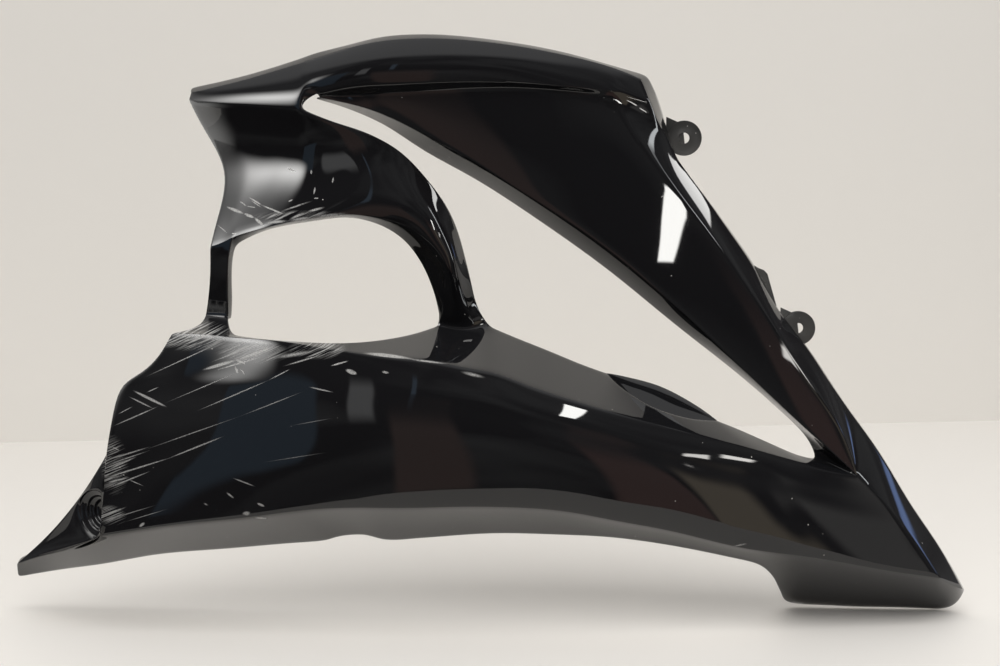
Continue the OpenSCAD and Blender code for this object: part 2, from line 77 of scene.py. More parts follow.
# Curves of the panel: x runs to the front, y inboard and z up.
curves = {
    "rimFold": [(180, 37, 458), (221, 26, 467), (271, 16, 481), (285, 13, 485), (307, 10, 492),
        (335, 7, 498), (366, 6, 500), (429, 7, 496), (476, 13, 488), (517, 20, 478), (541, 28, 469)],
    "rimEdge": [(177, 48, 462), (220, 37, 471), (269, 27, 485), (284, 24, 490), (306, 21, 495),
        (334, 19, 502), (366, 17, 504), (429, 19, 499), (476, 24, 491), (518, 31, 480), (548, 46, 472)],
    "bladeLow": [(178, 37, 452), (201, 28, 450), (230, 19, 448), (272, 8, 444)],
    "slotNose": [(272, 8, 444), (273, 9, 449), (279, 9, 454), (285, 8, 457)],
    "bladeStep": [(285, 8, 457), (311, 3, 463), (351, 1, 465), (390, 1, 467), (429, 3, 467),
        (468, 7, 464), (500, 12, 461), (522, 16, 459)],
    "bladeFoot": [(522, 16, 459), (548, 25, 451)],
    "bladeFront": [(541, 28, 469), (544, 27, 462), (548, 25, 451)],
    "recessTop": [(286, 10, 455), (310, 12, 455), (336, 10, 457), (366, 9, 459), (413, 9, 461),
        (468, 12, 460), (500, 17, 457), (521, 20, 451)],
    "panelLow": [(287, 11, 454), (302, 12, 451), (326, 14, 445), (349, 16, 435), (373, 18, 423),
        (445, 25, 380), (516, 32, 332), (562, 36, 294), (627, 43, 234), (679, 48, 185), (730, 54, 139)],
    "frontCrease": [(521, 20, 451), (526, 21, 442), (565, 27, 388), (610, 33, 331), (651, 39, 272),
        (686, 45, 220), (713, 49, 182), (730, 54, 139)],
    "flankFront": [(730, 54, 139), (750, 58, 120), (778, 63, 85), (806, 69, 46)],
    "slotUp": [(283, 13, 453), (304, 33, 446), (334, 38, 433), (364, 41, 413), (412, 46, 386),
        (462, 51, 353), (511, 56, 318), (579, 61, 263), (631, 65, 222), (674, 69, 184), (690, 71, 168),
        (698, 71, 150)],
    "slotLow": [(420, 78, 263), (446, 78, 252), (471, 78, 242), (497, 78, 231), (519, 78, 223)],
    "scoopRim": [(519, 78, 223), (533, 48, 213), (553, 37, 202), (580, 41, 192), (612, 61, 185)],
    "scoopBack": [(519, 78, 223), (540, 84, 218), (565, 84, 211), (591, 80, 198), (612, 61, 185)],
    "slotTail": [(612, 61, 185), (632, 67, 176), (657, 65, 165), (683, 65, 154), (698, 71, 150)],
    "flankTop": [(161, 28, 264), (185, 23, 264), (212, 19, 262), (251, 11, 260), (292, 6, 254),
        (333, 2, 249), (378, 0, 245), (401, 0, 240), (422, 1, 236), (453, 4, 224), (493, 9, 210),
        (543, 17, 194), (593, 25, 179), (644, 35, 164), (681, 44, 152), (705, 49, 144), (730, 54, 139)],
    "flankLeft": [(161, 28, 264), (155, 28, 252), (145, 29, 238), (131, 31, 228), (118, 33, 223),
        (114, 33, 217), (110, 33, 198), (102, 35, 160), (99, 37, 131), (93, 41, 90)],
    "leftReturn": [(160, 39, 261), (154, 40, 249), (144, 42, 235), (129, 45, 224), (116, 46, 218),
        (112, 48, 213), (107, 50, 194), (98, 52, 157), (95, 53, 127), (93, 41, 90)],
    "flankBottom": [(93, 41, 90), (159, 30, 103), (214, 24, 110), (281, 20, 119), (359, 19, 120),
        (408, 19, 121), (483, 23, 116), (525, 27, 107), (567, 32, 98), (630, 39, 81), (699, 48, 69),
        (770, 61, 53), (806, 69, 46)],
    "tailLow": [(4, 102, 49), (30, 84, 61), (58, 65, 72), (93, 41, 90)],
    "tailOut": [(4, 102, 49), (36, 86, 78), (72, 67, 119), (98, 52, 157)],
    "lipEdge": [(0, 119, 32), (38, 117, 39), (75, 113, 45), (129, 107, 56), (192, 100, 63),
        (254, 94, 70), (277, 92, 72), (287, 87, 77), (299, 86, 79), (314, 86, 79), (321, 88, 76),
        (328, 91, 73), (355, 89, 75), (429, 84, 81), (472, 80, 81), (528, 73, 80), (571, 69, 75),
        (630, 69, 63), (650, 74, 57), (664, 89, 44), (678, 115, 19), (687, 132, 4), (717, 131, 2),
        (752, 129, 1), (788, 127, 1), (821, 126, 0)],
    "stripOut": [(548, 25, 451), (558, 37, 431), (567, 43, 417), (573, 45, 405), (597, 49, 374),
        (618, 54, 345), (640, 59, 315), (659, 64, 281), (684, 69, 251), (719, 76, 200), (755, 84, 152),
        (784, 91, 106), (814, 99, 64), (837, 104, 25)],
    "stripBack": [(574, 58, 403), (599, 62, 373), (621, 67, 344), (643, 72, 314), (662, 77, 279),
        (687, 82, 249), (723, 89, 197), (759, 97, 149), (788, 104, 103), (818, 112, 61),
        (842, 117, 21)],
    "headWall": [(548, 46, 472), (557, 56, 456), (564, 66, 438), (570, 72, 418)],
    "toeEdge": [(821, 126, 0), (830, 124, 1), (838, 121, 8), (842, 117, 21)],
    "archLeft": [(178, 37, 452), (182, 45, 439), (192, 51, 420), (201, 52, 405), (205, 50, 391),
        (202, 45, 371), (196, 38, 349), (193, 33, 334)],
    "archOut": [(272, 8, 444), (294, 13, 435), (325, 20, 425), (348, 29, 412), (372, 40, 386),
        (385, 48, 367), (394, 56, 346), (400, 61, 323), (405, 67, 301), (410, 73, 279), (420, 78, 263)],
    "archIn": [(193, 33, 334), (202, 32, 337), (212, 30, 342), (235, 25, 349), (276, 22, 358),
        (312, 23, 361), (336, 27, 356), (348, 30, 351), (364, 37, 336), (375, 45, 321), (381, 54, 301),
        (382, 63, 283), (376, 73, 264)],
    "windowUp": [(213, 41, 335), (233, 38, 345), (274, 35, 354), (311, 36, 357), (335, 40, 349),
        (347, 43, 341), (363, 50, 320), (371, 58, 301), (376, 67, 282), (378, 74, 269)],
    "windowLow": [(212, 29, 262), (233, 25, 260), (267, 20, 258), (299, 20, 257), (330, 37, 257),
        (358, 56, 260), (376, 73, 264)],
    "pillarFoot": [(376, 73, 264), (397, 74, 260), (420, 78, 263)],
    "strutLeft": [(193, 33, 334), (190, 45, 306), (187, 51, 288), (184, 56, 275)],
    "strutRight": [(212, 30, 342), (208, 34, 327), (205, 44, 306), (204, 49, 289), (203, 54, 273)],
    "strutReturn": [(213, 41, 335), (210, 45, 326), (207, 54, 305), (206, 60, 287), (204, 65, 270)],
    "footBack": [(184, 56, 275), (194, 55, 274), (203, 54, 273)],
    "footLeft": [(161, 28, 264), (174, 39, 266), (181, 46, 269), (184, 56, 275)],
    "footRight": [(212, 29, 262), (206, 41, 265), (203, 54, 273)],
}

# Spaces along the rows that neighbouring patches share, and across each patch.
spaces = {
    "strut": 5, "window": 16, "pillar": 6, "front": [15, 10, 9], "slot": [9, 14, 11],
    "side": [6, 3], "tip": 9, "nose": 3, "blade": 16, "end": 3, "crease": 16, "tail": 8,
    "reveal": 24, "stripHead": 5, "strip": 21,
    "flankRows": 9, "shelfRows": 4, "bladeRows": 4, "stripRows": 3,
    "lipRows": 4, "strutRows": 8, "bowlRows": 6, "footRows": 2,
}


# A smooth row of points along a curve; stops are points of the curve, steps the spaces between them.
def row(name, steps, stops=None):
    p = np.array(curves[name], float)
    h = np.linalg.norm(np.diff(p, axis=0), axis=1)
    c = np.concatenate([[0], np.cumsum(h)])
    rise = np.diff(p, axis=0) / h[:, None]
    if len(p) > 2:
        inner = (rise[1:] * h[:-1, None] + rise[:-1] * h[1:, None]) / (h[1:] + h[:-1])[:, None]
        slope = np.vstack([1.5 * rise[:1] - 0.5 * inner[:1], inner, 1.5 * rise[-1:] - 0.5 * inner[-1:]])
    else:
        slope = np.vstack([rise, rise])
    stops = stops or [0, len(p) - 1]
    t = [c[stops[0]]]
    for k, n in enumerate(steps):
        t += list(np.linspace(c[stops[k]], c[stops[k + 1]], n + 1)[1:])
    t = np.array(t)
    i = np.clip(np.searchsorted(c, t, side="right") - 1, 0, len(h) - 1)
    u = ((t - c[i]) / h[i])[:, None]
    g = h[i][:, None]
    return (p[i] * (2 * u**3 - 3 * u**2 + 1) + slope[i] * g * (u**3 - 2 * u**2 + u)
            + p[i + 1] * (3 * u**2 - 2 * u**3) + slope[i + 1] * g * (u**3 - u**2))


def straight(a, b, steps):
    return np.linspace(a, b, steps + 1)


def joined(*rows):
    return np.vstack([rows[0]] + [r[1:] for r in rows[1:]])


def still(point, steps):
    return np.repeat([point], steps + 1, axis=0)


# Grid between four edges: low and high run along it, left and right across it; swell pushes it in y.
def patch(low, high, left, right, swell=()):
    s = np.linspace(0, 1, len(low))[None, :, None]
    t = np.linspace(0, 1, len(left))[:, None, None]
    grid = (low[None] * (1 - t) + high[None] * t + left[:, None] * (1 - s) + right[:, None] * s
            - (low[0] * (1 - s) * (1 - t) + low[-1] * s * (1 - t)
               + high[0] * (1 - s) * t + high[-1] * s * t))
    if len(swell):
        marks = np.linspace(0, 1, len(swell) + 2)
        bulge = np.interp(s[0, :, 0], marks, [0, *swell, 0])
        grid[:, :, 1] += bulge[None] * 4 * (t * (1 - t))[:, :, 0]
    return grid


def plain(low, high, rows=1):
    return patch(low, high, straight(low[0], high[0], rows), straight(low[-1], high[-1], rows))


# All patches of the skin with the side of each that faces inboard, and the rows that fold sharply.
def skinPatches():
    n = spaces
    rear = [n["strut"], n["window"], n["pillar"]]
    frontCells = sum(n["front"])
    crest = row("flankTop", rear + [frontCells], [0, 2, 6, 8, 16])
    foot = row("flankBottom", rear + n["front"], [0, 1, 4, 5, 9, 10, 12])
    side = row("flankLeft", n["side"], [0, 7, 9])
    sideEdge = row("leftReturn", n["side"], [0, 7, 9])
    nose = row("flankFront", [n["flankRows"]])
    windowSide = straight(curves["flankTop"][2], curves["windowLow"][0], n["shelfRows"])
    valley = straight(curves["flankTop"][-1], curves["slotUp"][-1], n["shelfRows"])
    pillar = row("pillarFoot", [n["pillar"]])
    scoopFront = row("scoopRim", [n["slot"][1]])
    strutFoot = row("footBack", [n["strut"]])
    strutSide = row("strutRight", [n["strutRows"]])
    strutEdge = row("strutReturn", [n["strutRows"]])
    archLow = row("archIn", [n["strut"], n["reveal"]], [0, 2, 12])
    tip = row("bladeLow", [n["tip"]])
    rimSteps = [n["tip"], n["nose"], n["blade"], n["end"]]
    rim = row("rimFold", rimSteps, [0, 2, 3, 9, 10])
    rimEdge = row("rimEdge", rimSteps, [0, 2, 3, 9, 10])
    stepTop = row("bladeStep", [n["blade"]])
    stepLow = row("recessTop", [n["blade"]])
    stepEnd = straight(curves["bladeStep"][-1], curves["frontCrease"][0], 1)
    bladeFoot = row("bladeFoot", [n["end"]])
    bladeEnd = row("bladeFront", [n["bladeRows"]])
    crease = row("frontCrease", [n["crease"]])
    slotFold = row("panelLow", [n["blade"], n["crease"]], [0, 6, 10])
    stripFold = row("stripOut", [n["stripHead"], n["strip"]], [0, 3, 13])
    stripHead = stripFold[: n["stripHead"] + 1]
    stripLong = stripFold[n["stripHead"]:]
    stripBack = row("stripBack", [n["strip"]])
    toeTop = straight(nose[-1], stripFold[-1], n["stripRows"])
    toeLeft = straight(nose[-1], curves["lipEdge"][-1], n["lipRows"])
    toeRight = straight(stripFold[-1], curves["stripBack"][-1], n["lipRows"])
    tailFold = row("tailLow", [n["tail"]])
    tailOut = row("tailOut", [n["tail"]])
    lipLow = row("lipEdge", [n["tail"], n["strut"], 8, 6, 2, n["pillar"]] + n["front"],
                 [0, 2, 3, 6, 11, 12, 13, 17, 21, 25])
    scoopLip = row("scoopBack", [n["slot"][1]])
    shelfBack = joined(row("windowLow", [n["window"]]), pillar, row("slotLow", [n["slot"][0]]),
                       scoopFront, row("slotTail", [n["slot"][2]]))
    t = np.linspace(0, 1, n["bowlRows"] + 1)[:, None]
    s = np.linspace(0, 1, len(scoopLip))[None]
    bowl = scoopFront[None] * (1 - t[..., None]) + scoopLip[None] * t[..., None]
    bowl[:, :, 2] -= 24 * np.sin(math.pi * np.minimum(1, t * 1.15)) * np.sin(math.pi * s)
    tailSide = sideEdge[: n["side"][0] - 1: -1]
    k = n["strut"]
    patches = {
        "flank": (patch(crest, foot, side, nose, (-8, -14, -14, -10, -4)), 1),
        "leftReturn": (np.array([side, sideEdge]), 1),
        "shelf": (patch(crest[k:], shelfBack, windowSide, valley), -1),
        "bowl": (bowl, -1),
        "foot": (patch(crest[: k + 1], strutFoot, row("footLeft", [n["shelfRows"] + n["footRows"]]),
                       joined(windowSide, row("footRight", [n["footRows"]]))), -1),
        "strut": (patch(strutFoot, archLow[: k + 1], row("strutLeft", [n["strutRows"]])[::-1],
                        strutSide[::-1]), -1),
        "strutReturn": (np.array([strutSide, strutEdge]), -1),
        "arch": (patch(joined(tip, row("archOut", [n["strut"] + n["reveal"] - n["tip"]])), archLow,
                       row("archLeft", [n["pillar"]]), pillar[::-1],
                       (0, 2, 2, -2, -8, -14, -16, -14, -6)), 1),
        "archReturn": (np.array([archLow[k:], row("windowUp", [n["reveal"]])]), 1),
        "blade": (patch(rim, joined(tip, row("slotNose", [n["nose"]]), stepTop, bladeFoot),
                        straight(rim[0], tip[0], n["bladeRows"]), bladeEnd, (-3, -6, -8, -6, -2)), 1),
        "rim": (np.array([rimEdge, rim]), 1),
        "step": (np.array([stepTop, stepLow]), 1),
        "recess": (patch(joined(stepLow, crease), slotFold,
                         straight(stepLow[0], slotFold[0], n["bladeRows"]),
                         still(crease[-1], n["bladeRows"]), (-2,)), 1),
        "band": (patch(slotFold, row("slotUp", [n["blade"] + n["crease"]]),
                       straight(slotFold[0], curves["slotUp"][0], n["shelfRows"]), valley, (-1,)), 1),
        "strip": (patch(stripFold, joined(stepEnd, crease, nose), bladeFoot[::-1], toeTop[::-1], (-2,)), 1),
        "stripSide": (patch(stripLong, stripBack, straight(stripLong[0], stripBack[0], n["lipRows"]),
                            toeRight), -1),
        "head": (plain(joined(bladeEnd, stripHead), row("headWall", [n["bladeRows"] + n["stripHead"]])), -1),
        "toe": (patch(toeTop, row("toeEdge", [n["stripRows"]]), toeLeft, toeRight), 1),
        "lip": (patch(joined(tailFold, foot), lipLow, straight(tailFold[0], lipLow[0], n["lipRows"]),
                      toeLeft, (3,)), 1),
    }
    sharp = [crest, foot, side, nose, scoopFront, strutSide, archLow, tip, rim, stepTop, stepLow, stepEnd,
             bladeEnd, crease, slotFold, stripFold, toeTop, toeLeft, toeRight, tailFold, tailSide]
    soft = [windowSide, valley, pillar, strutFoot, bladeFoot]
    folds = [(line, shell["fold"]) for line in sharp] + [(line, shell["softFold"]) for line in soft]
    return patches, folds, joined(tailFold, tailSide, tailOut[::-1])


# Rings from the tail's three sides to its recess, then down the ledges to the hole.
recess = {
    "radii": (21, 21, 15.1, 15.1, 10.5, 10.5, 4.25, 4.25), "depths": (0, 3.6, 3.6, 7.8, 7.8, 12, 12, 14),
    "rings": 4, "turn": 37, "evenness": 0.65,
}


def tailRings(boundary):
    turn = math.radians(recess["turn"])
    centre = np.array(tailFixing, float)
    across = np.array((math.cos(turn), -math.sin(turn), 0))
    inward = np.array((math.sin(turn), math.cos(turn), 0))
    up = np.array((0, 0, 1.0))
    loop = boundary[:-1] - centre
    angle = np.unwrap(np.arctan2(loop @ up, loop @ across))
    full = math.copysign(2 * math.pi, angle[-1] - angle[0])
    even = angle[0] + full * np.arange(len(angle)) / len(angle)
    angle = recess["evenness"] * even + (1 - recess["evenness"]) * angle
    angle = np.append(angle, angle[0] + full)
    circles = [centre + r * (np.cos(angle)[:, None] * across + np.sin(angle)[:, None] * up) + d * inward
               for r, d in zip(recess["radii"], recess["depths"])]
    fade = np.linspace(0, 1, recess["rings"] + 1)[:-1]
    return np.array([boundary * (1 - f) + circles[0] * f for f in fade] + circles)


# Welds the patches into one sheet, thickens it and rounds its folds.
shell = {
    "wall": 0.003, "mostWall": 2.2, "fold": 0.6, "softFold": 0.25, "outerCrease": 0.42, "innerCrease": 0.3,
    "rounding": 2, "edgeRadius": 0.0011, "edgeAngle": 24,
}


def meshObject(name, points, faces):
    mesh = bpy.data.meshes.new(name)
    mesh.from_pydata([toFrame(q) for q in points], [], faces)
    mesh.update()
    for skin in panelSkins:
        mesh.materials.append(skin)
    obj = bpy.data.objects.new(name, mesh)
    bpy.context.scene.collection.objects.link(obj)
    return obj


def applied(obj):
    dg = bpy.context.evaluated_depsgraph_get()
    mesh = bpy.data.meshes.new_from_object(obj.evaluated_get(dg))
    obj.modifiers.clear()
    obj.data = mesh
    return obj


# Draws in the few inner corners that a tight fold throws far out; they follow the outer ones in order.
def limitWall(obj, count):
    corners = obj.data.vertices
    reach = shell["wall"] * shell["mostWall"]
    for outer, inner in zip(corners[:count], corners[count:]):
        step = inner.co - outer.co
        if step.length > reach:
            inner.co = outer.co + step * (reach / step.length)


def makeShell():
    patches, folds, tailLoop = skinPatches()
    patches["tail"] = (tailRings(tailLoop), -1)
    points, index, faces = [], {}, []

    def corner(q):
        key = tuple(int(round(c * 50 + 0.137)) for c in q)
        if key not in index:
            index[key] = len(points)
            points.append(tuple(q))
        return index[key]

    for grid, side in patches.values():
        ids = [[corner(q) for q in line] for line in grid]
        for j in range(len(ids) - 1):
            for i in range(len(ids[0]) - 1):
                quad = [ids[j][i], ids[j][i + 1], ids[j + 1][i + 1], ids[j + 1][i]]
                quad = [q for k, q in enumerate(quad) if q != quad[k - 1]]
                if len(set(quad)) > 2:
                    faces.append(quad[::-1] if side > 0 else quad)
    obj = meshObject("shell", points, faces)
    sharp = {}
    for line, weight in folds:
        ids = [corner(q) for q in line]
        for a, b in zip(ids, ids[1:]):
            sharp[frozenset((a, b))] = weight
    crease = obj.data.attributes.new("crease_edge", "FLOAT", "EDGE")
    for edge in obj.data.edges:
        crease.data[edge.index].value = sharp.get(frozenset(edge.vertices), 0.0)
    thick = obj.modifiers.new("wall", "SOLIDIFY")
    thick.thickness = shell["wall"]
    thick.offset = -1
    thick.use_even_offset = True
    thick.thickness_clamp = 1.0
    thick.edge_crease_outer = shell["outerCrease"]
    thick.edge_crease_inner = shell["innerCrease"]
    thick.material_offset = 1
    limitWall(applied(obj), len(points))
    smooth = obj.modifiers.new("rounding", "SUBSURF")
    smooth.levels = smooth.render_levels = shell["rounding"]
    edge = obj.modifiers.new("edgeRadius", "BEVEL")
    edge.width = shell["edgeRadius"]
    edge.segments = 2
    edge.limit_method = "ANGLE"
    edge.angle_limit = math.radians(shell["edgeAngle"])
    return applied(obj)


# A flat outline in the x-z plane, given thickness and softened edges.
def plate(name, outline, centre, thickness, softness=0.5):
    n = len(outline)
    front = [(centre[0] + x, centre[1] - thickness / 2, centre[2] + z) for x, z in outline]
    back = [(x, y + thickness, z) for x, y, z in front]
    faces = [list(range(n))[::-1], list(range(n, 2 * n))]
    faces += [[k, (k + 1) % n, (k + 1) % n + n, k + n] for k in range(n)]
    obj = meshObject(name, front + back, faces)
    bevel = obj.modifiers.new("softEdges", "BEVEL")
    bevel.width = softness / 1000
    bevel.segments = 3
    bevel.limit_method = "ANGLE"
    return applied(obj)


ear = {"radius": 14.5, "hole": 4.5, "thickness": 4.0, "soft": 0.6, "segments": 64,
       "tongue": [(-15, 17.6), (-1.45, 11.6), (1.45, -11.6), (-15, -11.6)]}


def makeEar(name, centre):
    half, soft = ear["thickness"] / 2, ear["soft"]
    corner = [(soft * (1 - math.cos(a)), soft * (1 - math.sin(a))) for a in np.linspace(0, math.pi / 2, 4)]
    outer = [(ear["radius"] - a, half - b) for a, b in corner]
    inner = [(ear["hole"] + a, half - b) for a, b in corner[::-1]]
    outline = inner[::-1] + outer[::-1]
    outline = [(r, y) for r, y in outline] + [(r, -y) for r, y in outline[::-1]]
    n, m = len(outline), ear["segments"]
    points = [(centre[0] + r * math.cos(2 * math.pi * k / m), centre[1] + y,
               centre[2] + r * math.sin(2 * math.pi * k / m)) for k in range(m) for r, y in outline]
    faces = [[k * n + i, k * n + (i + 1) % n, (k + 1) % m * n + (i + 1) % n, (k + 1) % m * n + i]
             for k in range(m) for i in range(n)]
    disc = meshObject(name, points, faces)
    return [disc, plate(name + "Tongue", ear["tongue"], centre, ear["thickness"] - 1.2)]


tab = {"outline": [(-12, 19), (-6, 15), (-1, 13), (2, 10), (12, -23), (6, -18), (-9, -4), (-13, 8)],
       "thickness": 3.0}


def makePanel():
    parts = [makeShell()]
    print("shell built,", len(parts[0].data.polygons), "faces")
    parts += makeEar("upperEar", upperEar) + makeEar("lowerEar", lowerEar)
    parts.append(plate("tab", tab["outline"], (tabRoot[0], tabRoot[1] + 1.5, tabRoot[2]), tab["thickness"]))
    for obj in parts[1:]:
        obj.data.polygons.foreach_set("material_index", [1] * len(obj.data.polygons))
    for obj in parts:
        obj.data.polygons.foreach_set("use_smooth", [True] * len(obj.data.polygons))
    with bpy.context.temp_override(active_object=parts[0], selected_editable_objects=parts):
        bpy.ops.object.join()
    panel = parts[0]
    panel.name = "fairingPanel"
    return panel


def makeNode(tree, kind, values=None, **settings):
    node = tree.nodes.new("ShaderNode" + kind)
    for name, value in settings.items():
        setattr(node, name, value)
    for name, value in (values or {}).items():
        node.inputs[name].default_value = value
    return node


# A shared effect: a node group with named inputs, as (kind, name, value), and outputs.
def makeGroup(name, inputs, *outputs):
    tree = bpy.data.node_groups.new(name, "ShaderNodeTree")
    for kind, label, value in inputs:
        socket = tree.interface.new_socket(label, in_out="INPUT", socket_type="NodeSocket" + kind)
        socket.default_value = value
    for kind, label in outputs:
        tree.interface.new_socket(label, in_out="OUTPUT", socket_type="NodeSocket" + kind)
    return tree, tree.nodes.new("NodeGroupInput"), tree.nodes.new("NodeGroupOutput")


def useGroup(tree, group, values=None):
    node = tree.nodes.new("ShaderNodeGroup")
    node.node_tree = group
    for name, value in (values or {}).items():
        node.inputs[name].default_value = value
    return node


# A soft oval area, laid over the areas before it.
def spotGroup():
    tree, given, out = makeGroup("spot", [
        ("Vector", "Point", (0, 0, 0)), ("Float", "Before", 0), ("Vector", "Centre", (0, 0, 0)),
        ("Vector", "Radius", (1, 1, 1)), ("Float", "Strength", 1)], ("Float", "Mask"))
    links = tree.links
    offset = makeNode(tree, "VectorMath", operation="SUBTRACT")
    scaled = makeNode(tree, "VectorMath", operation="DIVIDE")
    far = makeNode(tree, "VectorMath", operation="LENGTH")
    fade = makeNode(tree, "MapRange", {"From Min": 0.45, "From Max": 1, "To Min": 1, "To Max": 0},
                    interpolation_type="SMOOTHSTEP")
    weak = makeNode(tree, "Math", operation="MULTIPLY")
    both = makeNode(tree, "Math", operation="MAXIMUM")
    links.new(given.outputs["Point"], offset.inputs[0])
    links.new(given.outputs["Centre"], offset.inputs[1])
    links.new(offset.outputs[0], scaled.inputs[0])
    links.new(given.outputs["Radius"], scaled.inputs[1])
    links.new(scaled.outputs[0], far.inputs[0])
    links.new(far.outputs["Value"], fade.inputs["Value"])
    links.new(fade.outputs[0], weak.inputs[0])
    links.new(given.outputs["Strength"], weak.inputs[1])
    links.new(weak.outputs[0], both.inputs[0])
    links.new(given.outputs["Before"], both.inputs[1])
    links.new(both.outputs[0], out.inputs["Mask"])
    return tree


# Fine parallel streaks that rise to the right by an angle.
def streakGroup():
    tree, given, out = makeGroup("streaks", [
        ("Vector", "Point", (0, 0, 0)), ("Float", "Angle", 0.4), ("Float", "Length", 30),
        ("Float", "Spacing", 1.2), ("Float", "Least", 0.46), ("Float", "Most", 0.6)], ("Float", "Mask"))
    links = tree.links
    turned = makeNode(tree, "VectorRotate", rotation_type="Y_AXIS")
    links.new(given.outputs["Point"], turned.inputs["Vector"])
    links.new(given.outputs["Angle"], turned.inputs["Angle"])
    size = makeNode(tree, "CombineXYZ", {"Y": 1000.0})  # the streaks don't change through the wall
    links.new(given.outputs["Length"], size.inputs["X"])
    links.new(given.outputs["Spacing"], size.inputs["Z"])
    drawn = makeNode(tree, "VectorMath", operation="DIVIDE")
    links.new(turned.outputs[0], drawn.inputs[0])
    links.new(size.outputs[0], drawn.inputs[1])
    noise = makeNode(tree, "TexNoise", {"Scale": 1.0, "Detail": 3.0, "Roughness": 0.6})
    links.new(drawn.outputs[0], noise.inputs["Vector"])
    cut = makeNode(tree, "MapRange", interpolation_type="SMOOTHSTEP")
    links.new(noise.outputs[0], cut.inputs["Value"])
    links.new(given.outputs["Least"], cut.inputs["From Min"])
    links.new(given.outputs["Most"], cut.inputs["From Max"])
    links.new(cut.outputs[0], out.inputs["Mask"])
    return tree


# Scattered specks of dust: a share of the cells of a random pattern holds one each.
def dustGroup():
    tree, given, out = makeGroup("dust", [
        ("Vector", "Point", (0, 0, 0)), ("Float", "Spacing", 10), ("Float", "Radius", 0.6),
        ("Float", "Share", 0.3)], ("Float", "Mask"))
    links = tree.links
    spaced = makeNode(tree, "VectorMath", operation="DIVIDE")
    cells = makeNode(tree, "TexVoronoi", {"Scale": 1.0})
    links.new(given.outputs["Point"], spaced.inputs[0])
    links.new(given.outputs["Spacing"], spaced.inputs[1])
    links.new(spaced.outputs[0], cells.inputs["Vector"])
    far = makeNode(tree, "Math", operation="MULTIPLY")
    links.new(cells.outputs["Distance"], far.inputs[0])
    links.new(given.outputs["Spacing"], far.inputs[1])
    fade = makeNode(tree, "MapRange", {"From Min": 0, "To Min": 1, "To Max": 0},
                    interpolation_type="SMOOTHSTEP")
    links.new(far.outputs[0], fade.inputs["Value"])
    links.new(given.outputs["Radius"], fade.inputs["From Max"])
    tint = makeNode(tree, "SeparateColor")
    links.new(cells.outputs["Color"], tint.inputs[0])
    chosen = makeNode(tree, "Math", operation="LESS_THAN")
    links.new(tint.outputs[0], chosen.inputs[0])
    links.new(given.outputs["Share"], chosen.inputs[1])
    mask = makeNode(tree, "Math", operation="MULTIPLY")
    links.new(fade.outputs[0], mask.inputs[0])
    links.new(chosen.outputs[0], mask.inputs[1])
    links.new(mask.outputs[0], out.inputs["Mask"])
    return tree


# Skin of uneven height, as a normal.
def reliefGroup():
    tree, given, out = makeGroup("relief", [
        ("Vector", "Point", (0, 0, 0)), ("Float", "Grain", 1), ("Float", "Depth", 0.0001)],
        ("Vector", "Normal"))
    links = tree.links
    spaced = makeNode(tree, "VectorMath", operation="DIVIDE")
    noise = makeNode(tree, "TexNoise", {"Scale": 1.0, "Detail": 2.0})
    bump = makeNode(tree, "Bump", {"Strength": 1.0})
    links.new(given.outputs["Point"], spaced.inputs[0])
    links.new(given.outputs["Grain"], spaced.inputs[1])
    links.new(spaced.outputs[0], noise.inputs["Vector"])
    links.new(noise.outputs[0], bump.inputs["Height"])
    links.new(given.outputs["Depth"], bump.inputs["Distance"])
    links.new(bump.outputs[0], out.inputs["Normal"])
    return tree


shared = {"spot": spotGroup(), "streaks": streakGroup(), "dust": dustGroup(), "relief": reliefGroup()}

# Marks on the gloss, each as its width in photo pixels, its strength and its points. They were read
# in enlargements of the photo: corner is where one begins and zoom is how much larger it was.
flankView = {"corner": (95, 325), "zoom": 6.03}
archView = {"corner": (200, 160), "zoom": 9.8}
photoView = {"corner": (0, 0), "zoom": 1.0}

